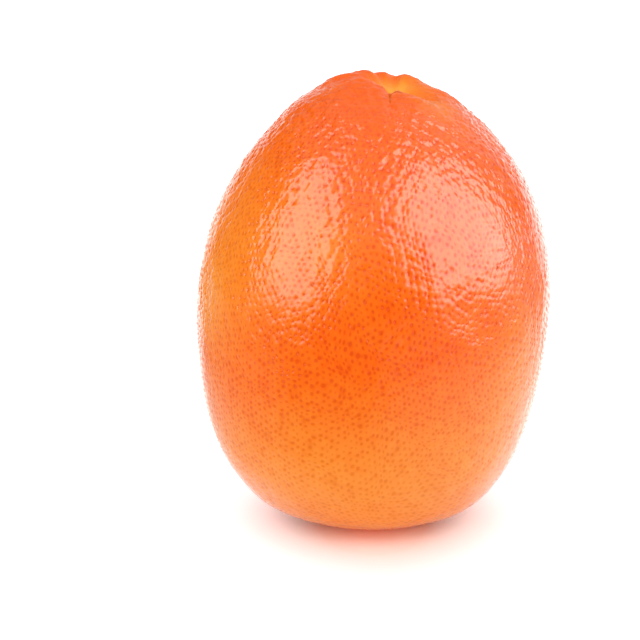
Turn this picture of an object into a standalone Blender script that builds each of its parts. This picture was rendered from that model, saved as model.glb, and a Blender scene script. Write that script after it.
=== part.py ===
# One whole grapefruit of a tall kind, in metres, standing on its blossom end.
# The floor is z = 0 and the middle of the flat spot is the origin.
# +X is to the viewer's right, -Y is towards the viewer, and the stem end is up.

import bmesh
import bpy
import numpy as np

mm = 0.001

# Body
widest_radius = 49.5 * mm
half_height = 63.05 * mm
flat_cut = 1.9 * mm  # how far the lowest point would hang below the floor
flat_blend = 1.4 * mm  # height over which the side rolls into the flat spot
lean = 2.85 * mm  # how much the middle moves to the right from the widest part to an end
lean_bend = 2.70 * mm  # and how much of that is taken back right at the ends

# How full the body is against a plain egg, from the blossom end (-1) to the stem end (1)
fullness_at = {
    -1.0: 1.456,
    -0.95: 1.456,
    -0.85: 1.305,
    -0.7: 1.157,
    -0.4: 1.039,
    0.0: 0.999,
    0.4: 0.991,
    0.72: 0.960,
    0.86: 0.960,
    1.0: 1.030,
}

# Slow unevenness of a grown fruit: waves round the axis, size, turn in degrees
unevenness = [
    (2, 0.35 * mm, 45),
    (3, 0.30 * mm, 30),
    (5, 0.12 * mm, 18),
]

# Stem end: a scar in a recess, with a ring of lobes round it
scar_x = 4.7 * mm
scar_y = -1.4 * mm
scar_radius = 1.9 * mm
scar_depth = 0.8 * mm
recess_radius = 5.4 * mm
recess_depth = 4.2 * mm
crest_radius = 9.0 * mm
crest_width = 6.0 * mm
crest_spread = 19  # degrees over which one lobe's height passes into the next

# Lobes: angle in degrees from +X towards +Y, height over the egg shape
lobes = [
    (15, -0.6 * mm),
    (50, 1.3 * mm),
    (68, 1.4 * mm),
    (101, 1.2 * mm),
    (145, 1.4 * mm),
    (176, 1.5 * mm),
    (210, 1.0 * mm),
    (240, -0.4 * mm),
    (284, -0.9 * mm),
    (345, -1.9 * mm),
]

# Furrows between the lobes: angle in degrees, depth, half width, reach
furrows = [
    (36, 1.1 * mm, 1.6 * mm, 15 * mm),
    (84, 3.2 * mm, 1.4 * mm, 12 * mm),
    (116, 2.2 * mm, 1.1 * mm, 12 * mm),
    (160, 0.9 * mm, 1.6 * mm, 16 * mm),
    (184, 1.6 * mm, 2.2 * mm, 18 * mm),
    (264, 2.8 * mm, 0.9 * mm, 12 * mm),
    (322, 3.2 * mm, 2.6 * mm, 15 * mm),
]
furrow_falloff = 1.5  # how sharply a furrow opens at the recess and fades at its reach
furrow_start_width = 0.7  # share of its half width that a furrow has at the scar

# Humps outside the ring: angle in degrees, distance from the scar, height, radius
humps = [
    (12, 16.5 * mm, 0.7 * mm, 3.6 * mm),
    (100, 17.0 * mm, 0.4 * mm, 5.0 * mm),
    (172, 16.0 * mm, 1.1 * mm, 4.5 * mm),
    (222, 15.0 * mm, 0.5 * mm, 5.0 * mm),
    (300, 14.0 * mm, 0.4 * mm, 4.0 * mm),
]

# Mesh
meridians = 72
rings = 58  # between the stem scar and the flat spot
crowding = 0.55  # 0 spaces the rings evenly, towards 1 gathers them at the stem end

# Peel
peel_colour = (0.92, 0.20, 0.035, 1.0)
peel_roughness = 0.36


def clear_scene():
    for thing in list(bpy.data.objects):
        bpy.data.objects.remove(thing, do_unlink=True)


def smooth_curve(knots, values, wanted):
    """A natural cubic spline through the knots, read at the wanted places."""
    step = np.diff(knots)
    slope = np.diff(values) / step
    count = len(knots)
    matrix = np.eye(count)
    right_side = np.zeros(count)
    for i in range(1, count - 1):
        matrix[i, i - 1 : i + 2] = (step[i - 1], 2 * (step[i - 1] + step[i]), step[i])
        right_side[i] = 6 * (slope[i] - slope[i - 1])
    bend = np.linalg.solve(matrix, right_side)
    left = np.clip(np.searchsorted(knots, wanted) - 1, 0, count - 2)
    width = step[left]
    after = (wanted - knots[left]) / width
    before = 1 - after
    straight = before * values[left] + after * values[left + 1]
    curl = (before**3 - before) * bend[left] + (after**3 - after) * bend[left + 1]
    return straight + curl * width**2 / 6


def shift_right(up):
    """How far the body's middle lies to the right at a height from -1 to 1."""
    return lean * (up + 1) - lean_bend * (up**3 + 1)


def soft_floor(height):
    """Zero below -flat_blend, the height itself above flat_blend, and a parabola between."""
    rolled = (height + flat_blend) ** 2 / (4 * flat_blend)
    risen = np.where(height > flat_blend, height, rolled)
    return np.where(height < -flat_blend, 0.0, risen)


def body(directions):
    """The egg-like body without its stem end, for unit directions from its middle."""
    across, back, up = directions.T
    heights = np.array(list(fullness_at))
    fullness = smooth_curve(heights, np.array(list(fullness_at.values())), up)
    turn = np.arctan2(back, across)
    swell = np.zeros(len(up))
    for waves, size, start in unevenness:
        swell += size * np.cos(waves * (turn - np.radians(start)))
    swell *= (1 - up**2) ** 1.5
    reach = widest_radius * fullness + swell
    x = reach * across + shift_right(up)
    y = reach * back
    z = soft_floor(half_height - flat_cut + half_height * up)
    return np.stack([x, y, z], axis=1)


def lobe_height(angle):
    """Height of the ring of lobes at an angle round the scar, passing smoothly between lobes."""
    total = np.zeros(len(angle))
    shared = np.zeros(len(angle))
    for lobe_angle, height in lobes:
        apart = np.cos(angle - np.radians(lobe_angle)) - 1
        share = np.exp(apart / np.radians(crest_spread) ** 2)
        total += share * height
        shared += share
    return total / shared


def furrow_depth(across, back):
    """Depth of all furrows together at a place measured from the scar."""
    total = np.zeros(len(across))
    for angle, depth, half_width, reach in furrows:
        way = np.radians(angle)
        along = np.clip(across * np.cos(way) + back * np.sin(way), 0, None)
        aside = back * np.cos(way) - across * np.sin(way)
        opens = 1 - np.exp(-furrow_falloff * (along / recess_radius) ** 2)
        fades = np.exp(-furrow_falloff * (along / reach) ** 2)
        spread = half_width * (furrow_start_width + along / reach)
        total += depth * opens * fades * np.exp(-((aside / spread) ** 2))
    return total


def stem_end(x, y):
    """Height added round the stem: the lobes with the recess in them, furrows and humps."""
    across, back = x - scar_x, y - scar_y
    away = np.hypot(across, back)
    ring = np.exp(-(((away - crest_radius) / crest_width) ** 2))
    added = ring * lobe_height(np.arctan2(back, across))
    added -= recess_depth * np.exp(-((away / recess_radius) ** 2))
    added -= scar_depth * np.exp(-((away / scar_radius) ** 4))
    added -= furrow_depth(across, back)
    for angle, distance, height, radius in humps:
        way = np.radians(angle)
        aside = np.hypot(across - distance * np.cos(way), back - distance * np.sin(way))
        added += height * np.exp(-((aside / radius) ** 2))
    return added


def fruit_surface(directions):
    """Points of the whole fruit for unit directions from its middle."""
    points = body(directions)
    x, y, z = points.T
    points[:, 2] += np.where(z > half_height, stem_end(x, y), 0.0)
    return points


def place_rings(sphere):
    """Moves a sphere's rings, so that they close on the scar and end at the flat spot's edge."""
    x, y, z = sphere.T
    turn = np.arctan2(y, x)
    share = np.arccos(np.clip(z, -1, 1)) / np.pi * (rings + 1) / rings
    edge = np.arccos(-(half_height - flat_cut + 1.001 * flat_blend) / half_height)
    down = edge * ((1 - crowding) * share + crowding * share**2)
    down = np.where(share > 1 + 0.5 / rings, np.pi, down)
    slide = ((1 + np.cos(down)) / 2) ** 3
    top_radius = widest_radius * fullness_at[1.0]
    across = np.sin(down) * np.cos(turn) + slide * (scar_x - shift_right(1.0)) / top_radius
    back = np.sin(down) * np.sin(turn) + slide * scar_y / top_radius
    placed = np.stack([across, back, np.cos(down)], axis=1)
    return placed / np.linalg.norm(placed, axis=1, keepdims=True)


def build_fruit():
    mesh = bpy.data.meshes.new("grapefruit")
    ball = bmesh.new()
    bmesh.ops.create_uvsphere(ball, u_segments=meridians, v_segments=rings + 1, radius=1.0)
    ball.to_mesh(mesh)
    ball.free()
    sphere = np.empty(len(mesh.vertices) * 3)
    mesh.vertices.foreach_get("co", sphere)
    points = fruit_surface(place_rings(sphere.reshape(-1, 3)))
    mesh.vertices.foreach_set("co", points.ravel())
    mesh.shade_smooth()
    mesh.update()
    fruit = bpy.data.objects.new("grapefruit", mesh)
    bpy.context.scene.collection.objects.link(fruit)
    return fruit


def add_peel(fruit):
    peel = bpy.data.materials.new("grapefruit_peel")
    peel.use_nodes = True
    shader = peel.node_tree.nodes["Principled BSDF"]
    shader.inputs["Base Color"].default_value = peel_colour
    shader.inputs["Roughness"].default_value = peel_roughness
    shader.inputs["Metallic"].default_value = 0.0
    fruit.data.materials.append(peel)


clear_scene()
add_peel(build_fruit())
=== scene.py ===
import itertools
import math

import bpy
import numpy as np
from mathutils import Euler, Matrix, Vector


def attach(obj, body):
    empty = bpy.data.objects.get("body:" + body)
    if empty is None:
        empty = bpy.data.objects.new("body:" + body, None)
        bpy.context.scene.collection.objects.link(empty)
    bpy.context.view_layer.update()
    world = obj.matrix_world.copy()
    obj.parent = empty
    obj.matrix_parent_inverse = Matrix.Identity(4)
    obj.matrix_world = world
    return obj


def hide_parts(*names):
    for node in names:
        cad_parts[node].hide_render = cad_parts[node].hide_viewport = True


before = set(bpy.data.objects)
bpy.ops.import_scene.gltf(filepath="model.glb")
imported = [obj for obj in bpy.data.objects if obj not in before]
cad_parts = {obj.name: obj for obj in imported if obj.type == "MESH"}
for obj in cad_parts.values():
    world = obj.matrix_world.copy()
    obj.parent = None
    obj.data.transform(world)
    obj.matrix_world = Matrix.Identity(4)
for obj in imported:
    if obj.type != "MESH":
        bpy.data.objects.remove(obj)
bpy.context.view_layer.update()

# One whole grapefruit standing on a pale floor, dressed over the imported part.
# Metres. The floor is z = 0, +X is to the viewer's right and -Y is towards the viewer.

mm = 0.001
print("packed fruit loaded")


cameraSet = dict(
    elevation=14.0,  # degrees above level
    distance=600 * mm,
    lens=121.0,  # millimetres, as the sensor's width is
    sensorWidth=36.0,
    target=(-14.70 * mm, 0.0, 55.45 * mm),
)


def addCamera(s):
    # place = target + distance * (0, -cos elevation, sin elevation), looking back at the target
    tilt = math.radians(s["elevation"])
    back = Vector((0.0, -math.cos(tilt), math.sin(tilt)))
    data = bpy.data.cameras.new("photoCamera")
    data.lens = s["lens"]
    data.sensor_width = s["sensorWidth"]
    camera = bpy.data.objects.new("photoCamera", data)
    camera.location = Vector(s["target"]) + back * s["distance"]
    camera.rotation_euler = (-back).to_track_quat("-Z", "Y").to_euler()
    bpy.context.scene.collection.objects.link(camera)
    bpy.context.scene.camera = camera


addCamera(cameraSet)
print("camera placed")


# the fruit's form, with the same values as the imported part
form = dict(
    widestRadius=49.5 * mm,
    halfHeight=63.05 * mm,
    flatCut=1.9 * mm,  # how far the lowest point would hang below the floor
    flatBlend=1.4 * mm,  # height over which the side rolls into the flat spot
    lean=2.85 * mm,  # how much the middle moves to the right from the widest part to an end
    leanBend=2.70 * mm,  # and how much of that is taken back right at the ends
    # how full the body is against a plain egg, from the blossom end (-1) to the stem end (1)
    fullness={-1.0: 1.456, -0.95: 1.456, -0.85: 1.305, -0.7: 1.157, -0.4: 1.039, 0.0: 0.999,
              0.4: 0.991, 0.72: 0.960, 0.86: 0.960, 1.0: 1.030},
    # slow unevenness: waves round the axis, size, turn in degrees
    unevenness=[(2, 0.35 * mm, 45), (3, 0.30 * mm, 30), (5, 0.12 * mm, 18)],
)

stemEnd = dict(
    scar=(4.7 * mm, -1.4 * mm),
    scarRadius=1.9 * mm,
    scarDepth=0.8 * mm,
    recessRadius=5.4 * mm,
    recessDepth=4.2 * mm,
    crestRadius=9.0 * mm,
    crestWidth=6.0 * mm,
    crestSpread=19,  # degrees over which one lobe's height passes into the next
    # lobes: angle in degrees from +X towards +Y, height over the egg shape
    lobes=[(15, -0.6 * mm), (50, 1.3 * mm), (68, 1.4 * mm), (101, 1.2 * mm), (145, 1.4 * mm),
           (176, 1.5 * mm), (210, 1.0 * mm), (240, -0.4 * mm), (284, -0.9 * mm),
           (345, -1.9 * mm)],
    # furrows between the lobes: angle, depth, half width, reach
    furrows=[(36, 1.1 * mm, 1.6 * mm, 15 * mm), (84, 3.2 * mm, 1.4 * mm, 12 * mm),
             (116, 2.2 * mm, 1.1 * mm, 12 * mm), (160, 0.9 * mm, 1.6 * mm, 16 * mm),
             (184, 1.6 * mm, 2.2 * mm, 18 * mm), (264, 2.8 * mm, 0.9 * mm, 12 * mm),
             (322, 3.2 * mm, 2.6 * mm, 15 * mm)],
    furrowFalloff=1.5,  # how sharply a furrow opens at the recess and fades at its reach
    furrowStartWidth=0.7,  # share of its half width that a furrow has at the scar
    # humps outside the lobes: angle, distance from the scar, height, radius
    humps=[(12, 16.5 * mm, 0.7 * mm, 3.6 * mm), (100, 17.0 * mm, 0.4 * mm, 5.0 * mm),
           (172, 16.0 * mm, 1.1 * mm, 4.5 * mm), (222, 15.0 * mm, 0.5 * mm, 5.0 * mm),
           (300, 14.0 * mm, 0.4 * mm, 4.0 * mm)],
)


def smoothCurve(knots, values, wanted):
    # natural cubic spline: between two knots it is the straight mix of their values plus
    # ((before^3 - before) * bend + (after^3 - after) * nextBend) * width^2 / 6
    step = np.diff(knots)
    slope = np.diff(values) / step
    count = len(knots)
    matrix = np.eye(count)
    rightSide = np.zeros(count)
    for i in range(1, count - 1):
        matrix[i, i - 1:i + 2] = (step[i - 1], 2 * (step[i - 1] + step[i]), step[i])
        rightSide[i] = 6 * (slope[i] - slope[i - 1])
    bend = np.linalg.solve(matrix, rightSide)
    left = np.clip(np.searchsorted(knots, wanted) - 1, 0, count - 2)
    width = step[left]
    after = (wanted - knots[left]) / width
    before = 1 - after
    straight = before * values[left] + after * values[left + 1]
    curl = (before**3 - before) * bend[left] + (after**3 - after) * bend[left + 1]
    return straight + curl * width**2 / 6


def bodyForm(directions, s):
    # for a unit direction (across, back, up): reach = widest radius * fullness(up) + swell,
    # swell = sum of size * cos(waves * (turn - start)) * (1 - up^2)^1.5,
    # x = reach * across + lean * (up + 1) - leanBend * (up^3 + 1), y = reach * back,
    # z = half height * (1 + up) - flat cut, rolled into the flat spot by a parabola
    across, back, up = directions.T
    knots = np.array(list(s["fullness"]))
    fullness = smoothCurve(knots, np.array(list(s["fullness"].values())), up)
    turn = np.arctan2(back, across)
    swell = sum(size * np.cos(waves * (turn - np.radians(start)))
                for waves, size, start in s["unevenness"])
    reach = s["widestRadius"] * fullness + swell * np.clip(1 - up**2, 0, None)**1.5
    x = reach * across + s["lean"] * (up + 1) - s["leanBend"] * (up**3 + 1)
    y = reach * back
    height = s["halfHeight"] * (1 + up) - s["flatCut"]
    blend = s["flatBlend"]
    rolled = (height + blend)**2 / (4 * blend)
    z = np.where(height > blend, height, np.where(height < -blend, 0.0, rolled))
    return np.stack([x, y, z], axis=1)


def stemForm(x, y, s):
    # height added round the scar: a ring of lobes, ring = exp(-((away - crest) / width)^2),
    # each lobe's share exp((cos(angle - lobe) - 1) / spread^2), minus the recess and the scar
    # as exp(-(away / radius)^2) and ^4, minus furrows depth * opens * fades * exp(-(aside /
    # width)^2) that run outwards, plus round humps height * exp(-(aside / radius)^2)
    across, back = x - s["scar"][0], y - s["scar"][1]
    away = np.hypot(across, back)
    angle = np.arctan2(back, across)
    spread = np.radians(s["crestSpread"])**2
    shares = [np.exp((np.cos(angle - np.radians(a)) - 1) / spread) for a, _ in s["lobes"]]
    lobes = sum(share * lobe[1] for share, lobe in zip(shares, s["lobes"])) / sum(shares)
    added = lobes * np.exp(-((away - s["crestRadius"]) / s["crestWidth"])**2)
    added -= s["recessDepth"] * np.exp(-(away / s["recessRadius"])**2)
    added -= s["scarDepth"] * np.exp(-(away / s["scarRadius"])**4)
    for turn, depth, halfWidth, reach in s["furrows"]:
        way = np.radians(turn)
        along = np.clip(across * np.cos(way) + back * np.sin(way), 0, None)
        aside = back * np.cos(way) - across * np.sin(way)
        opens = 1 - np.exp(-s["furrowFalloff"] * (along / s["recessRadius"])**2)
        fades = np.exp(-s["furrowFalloff"] * (along / reach)**2)
        width = halfWidth * (s["furrowStartWidth"] + along / reach)
        added -= depth * opens * fades * np.exp(-(aside / width)**2)
    for turn, distance, height, radius in s["humps"]:
        way = np.radians(turn)
        aside = np.hypot(across - distance * np.cos(way), back - distance * np.sin(way))
        added += height * np.exp(-(aside / radius)**2)
    return added


def fruitForm(directions):
    # the body's form, with the stem's form added to the height above the body's middle
    points = bodyForm(directions, form)
    top = points[:, 2] > form["halfHeight"]
    points[:, 2] += np.where(top, stemForm(points[:, 0], points[:, 1], stemEnd), 0.0)
    return points


# the skin's grid is a lattice over a ball, every seventh point the middle of a pore
skin = dict(
    seed=11,
    steps=98,  # lattice steps along an icosahedron's edge, a multiple of 7
    turn=(20, 35, 10),  # degrees that the icosahedron is turned about x, y and z
    poreJitter=0.30 * mm,
    poreRing=(0.78, 0.98),  # how near the six points round a pore are to it, smallest, largest
    poreDepth=0.28 * mm,  # of the deepest pores
    shallow=0.35,  # depth of the shallowest pores against the deepest
    ringDepth=0.12,  # share of a pore's depth at those six points
    ringSpread=0.018 * mm,  # how far chance lifts or lowers them
    # slow bending of the lattice: waves, size, shortest, longest
    bends=[(16, 0.9 * mm, 22 * mm, 60 * mm), (60, 0.26 * mm, 6 * mm, 12 * mm)],
    waves=(150, 0.044 * mm, 1.6 * mm, 3.7 * mm),  # number, size together, shortest, longest
    rolls=(24, 0.11 * mm, 9.0 * mm, 26.0 * mm),  # the same for slower ones
    bumpier=(84 * mm, 110 * mm, 1.0),  # the waves grow by this share from one height to another
    waxFrom=(10 * mm, 26 * mm),  # distances from the scar between which the wax sets in
    dotsFrom=(12 * mm, 38 * mm),  # and the dark dots in the pores
    # heights between which all relief grows, and its share at the lower one and below
    smoother=(42 * mm, 66 * mm, 0.5),
    # distances from the scar between which it grows, and its share at the nearer one
    calm=(4 * mm, 15 * mm, 0.35),
    resting=(1.5 * mm, 0.2 * mm),  # heights between which the relief gives way to the flat spot
    inset=0.34 * mm,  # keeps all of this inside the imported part's box
)

# where the peel is more golden than red: all round from one height in mm down to another, and
# in soft patches (middle in mm, radius in mm, how much)
golden = dict(
    everywhere=0.03,
    low=(60, 15, 0.95),
    patches=[
        ((-41, -21, 81), 26, 0.72),
        ((-46, -18, 63), 13, 0.52),
        ((-14, -43, 84), 13, 0.31),
        ((41, -26, 52), 18, 0.61),
        ((5.4, 0, 119.2), 4.2, 2.0),
        ((10, -2, 120), 8, 0.45),
        ((16, -13, 117), 6, 0.5),
        ((-3, -25, 114), 13, -0.25),
    ],
)


def latticeBall(steps):
    # on each face of an icosahedron a + b + c = steps; the point is the sum of the corners, each
    # times sin(share * angle of an edge), at length 1. A point is the middle of a pore where
    # a + 5b is a multiple of 7; all others are beside just one such point.
    # Returns the points, the triangles and the number of the pore that each point goes by
    ratio = (1 + 5**0.5) / 2
    signs = np.array(list(itertools.product((-1, 1), (-ratio, ratio))))
    flat = np.concatenate([np.zeros((4, 1)), signs], axis=1)
    corners = np.concatenate([np.roll(flat, shift, axis=1) for shift in range(3)])
    corners /= np.linalg.norm(corners, axis=1, keepdims=True)
    edgeAngle = math.atan(2)
    nearlyEdge = 0.4  # the dot product of two corners on one edge is 0.447, of others less
    faces = []
    for trio in itertools.combinations(range(12), 3):
        a, b, c = corners[list(trio)]
        if min(a @ b, b @ c, c @ a) > nearlyEdge:
            faces.append(trio if np.linalg.det([a, b, c]) > 0 else trio[::-1])
    a, b = np.divmod(np.arange((steps + 1)**2), steps + 1)
    kept = a + b <= steps
    a, b = a[kept], b[kept]
    place = np.full((steps + 1, steps + 1), -1)
    place[a, b] = np.arange(len(a))
    shares = np.sin(np.stack([a, b, steps - a - b], axis=1) / steps * edgeAngle)
    points = np.concatenate([shares @ corners[list(face)] for face in faces])
    points /= np.linalg.norm(points, axis=1, keepdims=True)
    up = a + b < steps
    down = a + b < steps - 1
    tris = np.concatenate([
        np.stack([place[a[up], b[up]], place[a[up] + 1, b[up]], place[a[up], b[up] + 1]], axis=1),
        np.stack([place[a[down] + 1, b[down]], place[a[down] + 1, b[down] + 1],
                  place[a[down], b[down] + 1]], axis=1)])
    starts = np.arange(len(faces)) * len(a)
    tris = (tris[None] + starts[:, None, None]).reshape(-1, 3)
    _, first, shared = np.unique(np.round(points, 6), axis=0, return_index=True,
                                 return_inverse=True)
    tris = shared.ravel()[tris]
    middle = np.tile((a + 5 * b) % 7 == 0, len(faces))[first]
    pore = np.arange(len(first))
    for start, end in itertools.permutations(range(3), 2):
        beside = middle[tris[:, start]] & ~middle[tris[:, end]]
        pore[tris[beside, end]] = tris[beside, start]
    return points[first], tris, pore


def waveSum(points, count, size, shortest, longest, rng):
    # sum of cosine waves in random directions; each wave's height follows its length, and
    # the whole has the given size as its root mean square
    ways = rng.normal(size=(count, 3))
    ways /= np.linalg.norm(ways, axis=1, keepdims=True)
    lengths = shortest * (longest / shortest)**rng.random(count)
    heights = lengths / np.sqrt((lengths**2).sum() / 2)
    starts = rng.uniform(0, 2 * np.pi, count)
    total = np.zeros(len(points))
    for way, length, height, start in zip(ways, lengths, heights, starts):
        total += height * np.cos(points @ way * (2 * np.pi / length) + start)
    return total * size


def surfaceNormals(points, tris):
    # each triangle's cross product added to its three corners, at length 1
    edges = np.cross(points[tris[:, 1]] - points[tris[:, 0]],
                     points[tris[:, 2]] - points[tris[:, 0]])
    total = np.stack([sum(np.bincount(tris[:, k], edges[:, axis], len(points))
                          for k in range(3)) for axis in range(3)], axis=1)
    return total / np.linalg.norm(total, axis=1, keepdims=True)


def smoothStep(low, high, value):
    # 0 below low, 1 above high, t^2 * (3 - 2t) between
    t = np.clip((value - low) / (high - low), 0, 1)
    return t * t * (3 - 2 * t)


def goldMark(points, s):
    # everywhere + low * smooth step down the height + sum of size * exp(-(away / radius)^2)
    high, low, size = s["low"]
    total = s["everywhere"] + size * smoothStep(high, low, points[:, 2])
    for middle, radius, size in s["patches"]:
        away = np.linalg.norm(points - middle, axis=1)
        total += size * np.exp(-(away / radius)**2)
    return total


def growSkin(s):
    # direction = lattice point, its pore moved by chance and its ring drawn in, bent slowly;
    # point = fruit form + normal * (waves + rolls - pore depth - inset), nothing below the floor
    rng = np.random.default_rng(s["seed"])
    ball, tris, pore = latticeBall(s["steps"])
    ball = ball @ np.array(Euler(np.radians(s["turn"])).to_matrix()).T
    scale = form["widestRadius"]
    count = len(ball)
    ring = pore != np.arange(count)
    jitter = rng.normal(size=ball.shape)
    jitter -= ball * (jitter * ball).sum(axis=1, keepdims=True)
    jitter /= np.linalg.norm(jitter, axis=1, keepdims=True)
    jitter *= np.sqrt(rng.random(count))[:, None] * s["poreJitter"] / scale
    drawn = rng.uniform(*s["poreRing"], count)[pore][:, None]
    placed = ball[pore] + (ball - ball[pore]) * drawn + jitter[pore]
    for number, size, low, high in s["bends"]:
        placed = placed + np.stack(
            [waveSum(ball * scale, number, size / scale, low, high, rng) for axis in range(3)],
            axis=1)
    placed /= np.linalg.norm(placed, axis=1, keepdims=True)
    points = fruitForm(placed)
    normals = surfaceNormals(points, tris)
    # the middle of the stem's scar, which is the point nearest to it that also lies high up
    aside = np.hypot(points[:, 0] - stemEnd["scar"][0], points[:, 1] - stemEnd["scar"][1])
    stemPoint = points[np.argmin(aside - points[:, 2])]
    luck = rng.random(count)[pore]
    cone = np.where(ring, s["ringDepth"], 1.0)
    # relief: waves that grow upwards, slower rolls, uneven rings and pores of uneven depth
    low, high, more = s["bumpier"]
    height = waveSum(points, *s["waves"], rng) * (1 + more * smoothStep(low, high, points[:, 2]))
    height += waveSum(points, *s["rolls"], rng)
    height += rng.uniform(-1, 1, count) * s["ringSpread"] * ring
    height -= cone * (s["shallow"] + (1 - s["shallow"]) * luck) * s["poreDepth"]
    # less of it near the stem, lower down and on the flat spot, which it never swells past
    near, far, least = s["calm"]
    away = np.linalg.norm(points - stemPoint, axis=1)
    height *= least + (1 - least) * smoothStep(near, far, away)
    low, high, least = s["smoother"]
    height *= least + (1 - least) * smoothStep(low, high, points[:, 2])
    resting = smoothStep(*s["resting"], points[:, 2])  # 1 on the flat spot
    height = height * (1 - resting) - np.clip(-height, 0, None) * resting
    height -= s["inset"] * (1 - resting)
    points = points + normals * height[:, None]
    points[:, 2] = np.clip(points[:, 2], 0, None)
    waxed = smoothStep(*s["waxFrom"], away)
    dotty = smoothStep(*s["dotsFrom"], away)
    gold = goldMark(points / mm, golden)
    return points, tris, dict(cone=cone, luck=luck, waxed=waxed, dotty=dotty, gold=gold)


def makeFruit():
    # the grown points as one closed mesh, with the marks that the peel reads on its points
    points, tris, marks = growSkin(skin)
    mesh = bpy.data.meshes.new("wholeGrapefruit")
    mesh.vertices.add(len(points))
    mesh.vertices.foreach_set("co", points.astype(np.float32).ravel())
    mesh.loops.add(tris.size)
    mesh.loops.foreach_set("vertex_index", tris.astype(np.int32).ravel())
    mesh.polygons.add(len(tris))
    mesh.polygons.foreach_set("loop_start", np.arange(0, tris.size, 3, dtype=np.int32))
    mesh.update(calc_edges=True)
    mesh.validate()
    mesh.shade_smooth()
    for name, values in marks.items():
        mark = mesh.attributes.new(name, "FLOAT", "POINT")
        mark.data.foreach_set("value", values.astype(np.float32))
    fruit = bpy.data.objects.new("wholeGrapefruit", mesh)
    bpy.context.scene.collection.objects.link(fruit)
    print("fruit grown,", len(tris), "triangles")
    return fruit


peelSet = dict(
    roughness=0.13,
    roughnessSpread=0.04,
    pitRoughness=0.05,
    pitDull=0.5,  # share of the wax that is missing in the narrow pits
    pitLuck=(0.35, 0.75),  # of the luck of each pore, where it gets a pit and where a full one
    # how much rougher the peel is in the painted crease shade and in the scars
    shadeAndScarRoughness=0.7,
    specular=0.12,
    wax=(0.50, 0.41),  # coat weight between the dots, and in them
    waxEdge=(0.1, 0.9),  # shares of the dot's colour at which the one weight turns to the other
    stemWax=0.15,  # share of the wax at the stem
    stemRoughness=0.25,  # and how much rougher the peel is there
    waxRoughness=0.14,
    red=(0.95, 0.141, 0.002, 1.0),
    redDot=(0.78, 0.066, 0.0002, 1.0),
    gold=(0.95, 0.300, 0.030, 1.0),
    goldDot=(0.80, 0.200, 0.006, 1.0),
    straw=(0.93, 0.400, 0.045, 1.0),  # where the gold mark goes on from 1 to 2
    ground=(0.33, 0.20),  # share of the dot's colour all over, at the stem and elsewhere
    grain=0.90,  # and how much chance adds to it
    # scale, detail and roughness of three noises, and what the blotches add to the gold mark
    blotches=(110.0, 3.0, 0.5),
    fineness=(900.0, 2.0, 0.6),
    grains=(560.0, 2.0, 0.6),
    goldBlotches=0.35,
    ragged=(0.45, 0.30),  # how much the fine noise and luck move a dot's edge
    dotLuck=0.8,  # luck from which a pore has the strongest dot
    dotStrength=(0.48, 0.80),  # weakest and strongest
    dotEdge=(0.05, 0.52),  # of the cone in each pore, where its dark dot starts and is full
    pitEdge=(0.55, 1.0),  # and where the narrow pit in it does
    bumpSize=0.03 * mm,
    bumpDepths=(0.4, 1.8),  # of the dots and the pits, against the fine noise
    # painted shade in three strokes, where the crease beside the recess and the near lobe's inner
    # edge fall into shadow, then the stem's and the blossom's scar: start, end, half width, all
    # in mm
    shadeStrokesAndScars=[((3.9, -11.2, 120.45), (3.8, -18.6, 118.9), 0.85),
            ((4.3, -10.9, 120.4), (5.5, -10.4, 120.7), 1.2),
            ((5.5, -10.4, 120.7), (7.8, -10.9, 120.65), 1.2),
            ((4.4, -1.4, 118.8), (5.0, -1.4, 118.8), 2.2),
            ((-0.4, 0.1, 0.0), (0.5, -0.1, 0.0), 2.8)],
    # brown of the painted crease shade and of the two scars
    shadeAndScarColour=(0.52, 0.085, 0.003, 1.0),
)


def nodeMakers(tree):
    # returns three functions: make adds a node, sets its options and fills or links its inputs,
    # calc is one step of arithmetic, ramp a smooth step from one value to another
    def make(kind, options=None, **inputs):
        node = tree.nodes.new(kind)
        for name, value in (options or {}).items():
            setattr(node, name, value)
        for name, value in inputs.items():
            socket = node.inputs[int(name[1:])] if name[0] == "_" else node.inputs[name]
            if isinstance(value, bpy.types.NodeSocket):
                tree.links.new(value, socket)
            else:
                socket.default_value = value
        return node

    def calc(operation, a, b=0.0):
        return make("ShaderNodeMath", dict(operation=operation), _0=a, _1=b).outputs[0]

    def ramp(value, low, high, toLow=0.0, toHigh=1.0):
        return make("ShaderNodeMapRange", dict(interpolation_type="SMOOTHSTEP"), _0=value,
                    _1=low, _2=high, _3=toLow, _4=toHigh).outputs[0]

    return make, calc, ramp


def strokeGroup():
    # share = how near a place is to the line from start to end, whose width narrows to a third:
    # along = clamp((place - start) . (end - start) / |end - start|^2),
    # far = |place - start - along * (end - start)|
    endWidth = 0.33
    group = bpy.data.node_groups.new("stroke", "ShaderNodeTree")
    for name in ("Place", "Start", "End"):
        group.interface.new_socket(name, in_out="INPUT", socket_type="NodeSocketVector")
    group.interface.new_socket("Half Width", in_out="INPUT", socket_type="NodeSocketFloat")
    group.interface.new_socket("Share", in_out="OUTPUT", socket_type="NodeSocketFloat")
    make, calc, ramp = nodeMakers(group)
    given = make("NodeGroupInput").outputs

    def vector(operation, a, b):
        return make("ShaderNodeVectorMath", dict(operation=operation), _0=a, _1=b).outputs

    way = vector("SUBTRACT", given["End"], given["Start"])[0]
    offset = vector("SUBTRACT", given["Place"], given["Start"])[0]
    along = make("ShaderNodeMath", dict(operation="DIVIDE", use_clamp=True),
                 _0=vector("DOT_PRODUCT", offset, way)["Value"],
                 _1=vector("DOT_PRODUCT", way, way)["Value"]).outputs[0]
    foot = make("ShaderNodeVectorMath", dict(operation="SCALE"), _0=way, Scale=along).outputs[0]
    far = vector("DISTANCE", offset, foot)["Value"]
    narrowing = make("ShaderNodeMapRange", _0=along, _1=0.0, _2=1.0, _3=1.0,
                     _4=endWidth).outputs[0]
    width = calc("MULTIPLY", narrowing, given["Half Width"])
    make("NodeGroupOutput", Share=ramp(far, 0.0, width, 1.0, 0.0))
    return group


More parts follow.
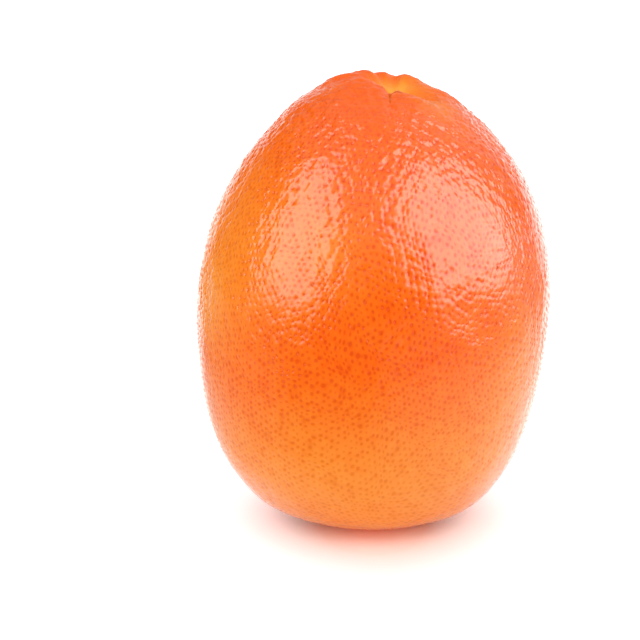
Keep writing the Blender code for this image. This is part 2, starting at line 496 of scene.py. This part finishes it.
def makePeel(s):
    # red to gold by the gold mark, darker in each pore's dot, straw where the mark passes 1 and
    # brown in the strokes of painted crease shade and in the scars; wax over all but those
    # strokes, less of it in the pits and at the stem
    peel = bpy.data.materials.new("grapefruitPeel")
    peel.use_nodes = True
    tree = peel.node_tree
    shader = tree.nodes["Principled BSDF"]
    make, calc, ramp = nodeMakers(tree)

    def mix(fac, a, b):
        return make("ShaderNodeMix", dict(data_type="RGBA"), _0=fac, _6=a, _7=b).outputs[2]

    def noise(scale, detail, roughness):
        return make("ShaderNodeTexNoise", Vector=place, Scale=scale, Detail=detail,
                    Roughness=roughness).outputs["Fac"]

    def around(value, size):
        # the value's swing round a half, brought to the given size
        return calc("MULTIPLY", calc("SUBTRACT", value, 0.5), size)

    place = make("ShaderNodeTexCoord").outputs["Object"]
    cone, luck, waxed, dotty, gold = [
        make("ShaderNodeAttribute", dict(attribute_name=name)).outputs["Fac"]
        for name in ("cone", "luck", "waxed", "dotty", "gold")]
    blotch = noise(*s["blotches"])
    fine = noise(*s["fineness"])
    shade = calc("ADD", gold, around(blotch, s["goldBlotches"]))
    ragged = calc("ADD", calc("ADD", cone, around(fine, s["ragged"][0])),
                  around(luck, s["ragged"][1]))
    dot = ramp(ragged, *s["dotEdge"])
    pit = calc("MULTIPLY", ramp(cone, *s["pitEdge"]), ramp(luck, *s["pitLuck"]))
    grain = noise(*s["grains"])
    strength = ramp(luck, 0.0, s["dotLuck"], *s["dotStrength"])
    dotted = calc("MULTIPLY", calc("MULTIPLY", dot, strength), dotty)
    ground = ramp(dotty, 0.0, 1.0, *s["ground"])
    dotted = calc("ADD", dotted, calc("ADD", around(grain, s["grain"]), ground))
    colour = mix(dotted, mix(shade, s["red"], s["gold"]), mix(shade, s["redDot"], s["goldDot"]))
    colour = mix(calc("SUBTRACT", shade, 1.0), colour, s["straw"])

    # the first three strokes are painted shade in the crease by the recess, the last two are the
    # stem's and the blossom's scar
    group = strokeGroup()
    shadeAndScarShare = 0.0
    for start, end, width in s["shadeStrokesAndScars"]:
        share = make("ShaderNodeGroup", dict(node_tree=group), **{
            "Place": place, "Start": Vector(start) * mm, "End": Vector(end) * mm,
            "Half Width": width * mm}).outputs[0]
        shadeAndScarShare = calc("MAXIMUM", share, shadeAndScarShare)
    colour = mix(shadeAndScarShare, colour, s["shadeAndScarColour"])
    tree.links.new(colour, shader.inputs["Base Color"])

    rough = calc("ADD", around(blotch, s["roughnessSpread"] * 2), s["roughness"])
    rough = calc("ADD", rough, calc("MULTIPLY", pit, s["pitRoughness"]))
    rough = calc("ADD", rough, ramp(waxed, 0.0, 1.0, s["stemRoughness"], 0.0))
    rough = calc("ADD", rough, calc("MULTIPLY", shadeAndScarShare, s["shadeAndScarRoughness"]))
    tree.links.new(rough, shader.inputs["Roughness"])

    depths = calc("ADD", calc("MULTIPLY", dot, s["bumpDepths"][0]),
                  calc("MULTIPLY", pit, s["bumpDepths"][1]))
    height = calc("SUBTRACT", fine, depths)
    bump = make("ShaderNodeBump", Strength=1.0, Distance=s["bumpSize"], Height=height)
    tree.links.new(bump.outputs["Normal"], shader.inputs["Normal"])
    tree.links.new(bump.outputs["Normal"], shader.inputs["Coat Normal"])

    wax = calc("MULTIPLY", ramp(dotted, *s["waxEdge"], *s["wax"]),
               ramp(waxed, 0.0, 1.0, s["stemWax"], 1.0))
    dull = calc("MAXIMUM", shadeAndScarShare, calc("MULTIPLY", pit, s["pitDull"]))
    wax = calc("MULTIPLY", wax, calc("SUBTRACT", 1.0, dull))
    tree.links.new(wax, shader.inputs["Coat Weight"])
    shader.inputs["Coat Roughness"].default_value = s["waxRoughness"]
    shader.inputs["Specular IOR Level"].default_value = s["specular"]
    return peel


studio = dict(
    floorColour=(0.96, 0.96, 0.96, 1.0),
    floorSize=6.0,
    # the floor's glow, for camera and sheen alone, which whitens the floor far out and fades to
    # nothing near the fruit, so that it paints the contact shadow's reach and shape: distances
    # from its middle and glow there
    glowMiddle=(0.0, -0.012, 0.0),
    glowStretch=(1.7, 1.0, 1.0),
    floorGlow=[(0.025, 0.0), (0.066, 0.41), (0.70, 1.2)],
    glowColour=(1.0, 1.0, 1.12),
    paintedBounceGlow=(0.48, 0.036),  # painted orange bounce light from the peel on the floor below it, and how far that reaches
    paintedBounceColour=(1.0, 0.12, 0.03),
    floorSheen=(0.036, 0.072),  # the sheen sees the floor itself out to here, then the world
    middle=(0.0, 0.0, 62 * mm),  # what the panels are turned to
    # two large panels light the peel and the floor evenly, a third the left rim
    panels=[
        dict(azimuth=60, elevation=30, distance=1.2, width=1.6, height=1.4, radiance=1.0),
        dict(azimuth=-55, elevation=30, distance=1.2, width=1.6, height=1.4, radiance=1.0),
        dict(azimuth=-135, elevation=8, distance=1.2, width=1.0, height=0.8, radiance=0.9),
    ],
    roomSoft=0.85,  # the tent's even light on peel and floor
)

# what the peel's sheen sees, in degrees: azimuth 0 is towards the camera, 90 to the right
surround = dict(
    boxes=[
        dict(azimuth=61, slant=-0.42, elevation=30, halfWidth=39.5, halfHeight=32, radiance=11.0),
        dict(azimuth=-60, slant=0.0, elevation=31, halfWidth=26, halfHeight=31, radiance=8.1),
        dict(azimuth=132, slant=0.0, elevation=48, halfWidth=26, halfHeight=28, radiance=1.0),
        dict(azimuth=-5, slant=0.0, elevation=37, halfWidth=20, halfHeight=22, radiance=0.9),
    ],
    boxEdge=0.27,  # softness, as a share of the half size
    front=0.06,  # where there is neither box nor wall, ceiling or floor
    behind=2.5,  # of the bright wall
    behindWay=(0.174, 0.985, 0.0),  # the way to its middle
    behindEdge=(0.52, 0.97),  # how near to that way it starts and is full, as a cosine
    behindFade=(-4.0, 22.0, 0.36),  # elevations over which it fades, and the share left
    overhead=1.3,  # of the ceiling
    overheadEdge=(28.0, 64.0),  # elevations over which it sets in
    floorNear=(1.0, 1.15),  # seen steeply down: everywhere, and more on its bright side
    floorSide=112.0,  # azimuth of that side
    floorFar=(-26.0, -12.0, 0.45),  # elevations over which that fades, and the share left
    floorGlance=(-30.0, -16.0),  # and over which wall or ceiling show in it where brighter
    horizon=(-6.0, 0.0),  # and over which it ends
    darkFront=(-28.0, 40.0),  # middle and half width of the sector without a floor sheen
    darkEdge=(0.5, 1.5),  # where its edge starts and ends, against its half width
    darkDown=(-45.0, -20.0, 0.5),  # elevations over which it sets in, and its share lower down
    backdrop=1.25,  # what the camera sees beyond the floor
)


def addFloor(s):
    # glow at a distance from the middle = straight lines through the floorGlow values, plus the
    # painted bounce light, which falls evenly to nothing; where the glow is dim near the fruit it
    # paints the contact shadow
    mesh = bpy.data.meshes.new("paleFloor")
    half = s["floorSize"] / 2
    mesh.from_pydata([(-half, -half, 0), (half, -half, 0), (half, half, 0), (-half, half, 0)],
                     [], [(0, 1, 2, 3)])
    floor = bpy.data.objects.new("paleFloor", mesh)
    bpy.context.scene.collection.objects.link(floor)
    finish = bpy.data.materials.new("paleFloor")
    finish.use_nodes = True
    tree = finish.node_tree
    shader = tree.nodes["Principled BSDF"]
    shader.inputs["Base Color"].default_value = s["floorColour"]
    shader.inputs["Roughness"].default_value = 1.0
    shader.inputs["Specular IOR Level"].default_value = 0.0
    make, calc, _ = nodeMakers(tree)
    place = make("ShaderNodeTexCoord").outputs["Object"]
    moved = make("ShaderNodeVectorMath", dict(operation="SUBTRACT"), _0=place,
                 _1=s["glowMiddle"]).outputs[0]
    moved = make("ShaderNodeVectorMath", dict(operation="MULTIPLY"), _0=moved,
                 _1=s["glowStretch"]).outputs[0]
    away = make("ShaderNodeVectorMath", dict(operation="LENGTH"), _0=moved).outputs["Value"]
    path = make("ShaderNodeLightPath")
    # dim near the fruit and bright far out: the dim middle and its stretch paint the contact
    # shadow's reach and shape
    (inner, dim), (middle, plain), (outer, bright) = s["floorGlow"]
    under = make("ShaderNodeMapRange", _0=away, _1=inner, _2=middle, _3=dim,
                 _4=plain).outputs[0]
    beyond = make("ShaderNodeMapRange", _0=away, _1=middle, _2=outer, _3=0.0,
                  _4=bright - plain).outputs[0]
    pale = calc("ADD", beyond, under)
    # painted bounce light: an orange glow that falls evenly from the middle to nothing
    paintedBounce = make("ShaderNodeMapRange", _0=away, _1=0.0, _2=s["paintedBounceGlow"][1],
                _3=s["paintedBounceGlow"][0], _4=0.0).outputs[0]
    white = make("ShaderNodeVectorMath", dict(operation="SCALE"), _0=s["glowColour"],
                 Scale=pale).outputs[0]
    paintedBounce = make("ShaderNodeVectorMath", dict(operation="SCALE"), _0=s["paintedBounceColour"],
                Scale=paintedBounce).outputs[0]
    glow = make("ShaderNodeVectorMath", dict(operation="ADD"), _0=white, _1=paintedBounce).outputs[0]
    tree.links.new(glow, shader.inputs["Emission Color"])
    # the camera and the peel's sheen both see this painted glow
    seen = calc("ADD", path.outputs["Is Camera Ray"], path.outputs["Is Glossy Ray"])
    tree.links.new(seen, shader.inputs["Emission Strength"])

    # the sheen looks through the floor further out
    out = make("ShaderNodeVectorMath", dict(operation="LENGTH"), _0=place).outputs["Value"]
    near, far = s["floorSheen"]
    clear = make("ShaderNodeMapRange", _0=out, _1=near, _2=far).outputs[0]
    clear = calc("MULTIPLY", clear, path.outputs["Is Glossy Ray"])
    mixed = make("ShaderNodeMixShader", _0=clear, _1=shader.outputs[0],
                 _2=make("ShaderNodeBsdfTransparent").outputs[0]).outputs[0]
    tree.links.new(mixed, tree.nodes["Material Output"].inputs["Surface"])
    mesh.materials.append(finish)


def addPanel(name, s, middle):
    # a panel at an azimuth (0 is towards the camera, 90 to the right) and elevation from the
    # fruit's middle; power = radiance * pi * area
    a, e = math.radians(s["azimuth"]), math.radians(s["elevation"])
    way = Vector((math.sin(a) * math.cos(e), -math.cos(a) * math.cos(e), math.sin(e)))
    data = bpy.data.lights.new(name, "AREA")
    data.shape = "RECTANGLE"
    data.size, data.size_y = s["width"], s["height"]
    data.energy = s["radiance"] * math.pi * s["width"] * s["height"]
    light = bpy.data.objects.new(name, data)
    light.location = Vector(middle) + way * s["distance"]
    light.rotation_euler = way.to_track_quat("Z", "Y").to_euler()
    light.visible_glossy = False
    light.visible_camera = False
    bpy.context.scene.collection.objects.link(light)


def softboxGroup():
    # 1 inside a rounded box of directions: far = (across^4 + along^4)^(1/4), where across and
    # along are the angles from its middle, each as a share of its half size
    squareness = 4.0  # 2 gives an ellipse, more comes nearer to a rectangle
    group = bpy.data.node_groups.new("softbox", "ShaderNodeTree")
    for name in ("Azimuth", "Elevation", "Middle Azimuth", "Middle Elevation", "Slant",
                 "Half Width", "Half Height", "Edge"):
        group.interface.new_socket(name, in_out="INPUT", socket_type="NodeSocketFloat")
    group.interface.new_socket("Share", in_out="OUTPUT", socket_type="NodeSocketFloat")
    make, calc, ramp = nodeMakers(group)
    given = make("NodeGroupInput").outputs
    rise = calc("SUBTRACT", given["Elevation"], given["Middle Elevation"])
    aside = calc("SUBTRACT", calc("SUBTRACT", given["Azimuth"], given["Middle Azimuth"]),
                 calc("MULTIPLY", rise, given["Slant"]))
    across = calc("POWER", calc("DIVIDE", aside, given["Half Width"]), squareness)
    along = calc("POWER", calc("DIVIDE", rise, given["Half Height"]), squareness)
    far = calc("POWER", calc("ADD", across, along), 1 / squareness)
    share = ramp(far, calc("SUBTRACT", 1.0, given["Edge"]), calc("ADD", 1.0, given["Edge"]),
                 1.0, 0.0)
    make("NodeGroupOutput", Share=share)
    return group


def addWorld(s, soft):
    # azimuth = atan2(x, -y), elevation = asin(z), both in degrees
    world = bpy.data.worlds.new("lightTent")
    bpy.context.scene.world = world
    world.use_nodes = True
    tree = world.node_tree
    tree.nodes.clear()
    make, calc, ramp = nodeMakers(tree)
    way = make("ShaderNodeTexCoord").outputs["Generated"]
    x, y, z = make("ShaderNodeSeparateXYZ", _0=way).outputs
    azimuth = calc("DEGREES", calc("ARCTAN2", x, calc("MULTIPLY", y, -1.0)))
    elevation = calc("DEGREES", calc("ARCSINE", z))

    # the wall behind, fading upwards, and the ceiling
    backness = make("ShaderNodeVectorMath", dict(operation="DOT_PRODUCT"), _0=way,
                    _1=s["behindWay"]).outputs["Value"]
    low, high, least = s["behindFade"]
    behind = calc("MULTIPLY", ramp(backness, *s["behindEdge"], s["front"], s["behind"]),
                  ramp(elevation, low, high, 1.0, least))
    room = calc("MAXIMUM", behind,
                ramp(elevation, *s["overheadEdge"], s["front"], s["overhead"]))

    # the floor: near = low + more * ((1 + cos(azimuth - side)) / 2)^2, none in the dark sector
    turned = calc("RADIANS", calc("SUBTRACT", azimuth, s["floorSide"]))
    side = calc("POWER", calc("MULTIPLY", calc("ADD", calc("COSINE", turned), 1.0), 0.5), 2.0)
    near = calc("ADD", calc("MULTIPLY", side, s["floorNear"][1]), s["floorNear"][0])
    middle, half = s["darkFront"]
    fromDark = calc("ABSOLUTE", calc("SUBTRACT", azimuth, middle))
    dark = ramp(fromDark, half * s["darkEdge"][0], half * s["darkEdge"][1], 1.0, 0.0)
    low, high, least = s["floorFar"]
    steep = ramp(elevation, low, high, 1.0, least)
    low, high, least = s["darkDown"]
    darker = calc("MULTIPLY", dark, ramp(elevation, low, high, least, 1.0))
    floor = calc("MULTIPLY", calc("MULTIPLY", near, steep), calc("SUBTRACT", 1.0, darker))
    shallow = ramp(elevation, *s["floorGlance"])
    floor = make("ShaderNodeMix", dict(data_type="FLOAT"), _0=shallow, _2=floor,
                 _3=calc("MAXIMUM", floor, room)).outputs[0]
    lower = ramp(elevation, *s["horizon"], 1.0, 0.0)
    sheen = make("ShaderNodeMix", dict(data_type="FLOAT"), _0=lower, _2=room, _3=floor).outputs[0]

    group = softboxGroup()
    for box in s["boxes"]:
        share = make("ShaderNodeGroup", dict(node_tree=group), **{
            "Azimuth": azimuth, "Elevation": elevation, "Middle Azimuth": box["azimuth"],
            "Middle Elevation": box["elevation"], "Slant": box["slant"],
            "Half Width": box["halfWidth"], "Half Height": box["halfHeight"],
            "Edge": s["boxEdge"]}).outputs[0]
        sheen = calc("ADD", sheen, calc("MULTIPLY", share, box["radiance"]))

    # sheen for glossy rays, the backdrop for the camera, even light for all others
    path = make("ShaderNodeLightPath").outputs
    felt = make("ShaderNodeMix", dict(data_type="FLOAT"), _0=path["Is Glossy Ray"],
                _2=soft, _3=sheen).outputs[0]
    seen = make("ShaderNodeMix", dict(data_type="FLOAT"), _0=path["Is Camera Ray"],
                _2=felt, _3=s["backdrop"]).outputs[0]
    tent = make("ShaderNodeBackground", Strength=seen).outputs[0]
    make("ShaderNodeOutputWorld", Surface=tent)


fruit = makeFruit()
fruit.data.materials.append(makePeel(peelSet))
print("peel dressed")
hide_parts("grapefruit")
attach(fruit, "root")

addFloor(studio)
for number, panel in enumerate(studio["panels"]):
    addPanel(f"softPanel{number}", panel, studio["middle"])
addWorld(surround, studio["roomSoft"])
bpy.context.scene.view_settings.view_transform = "Standard"
print("studio lit")
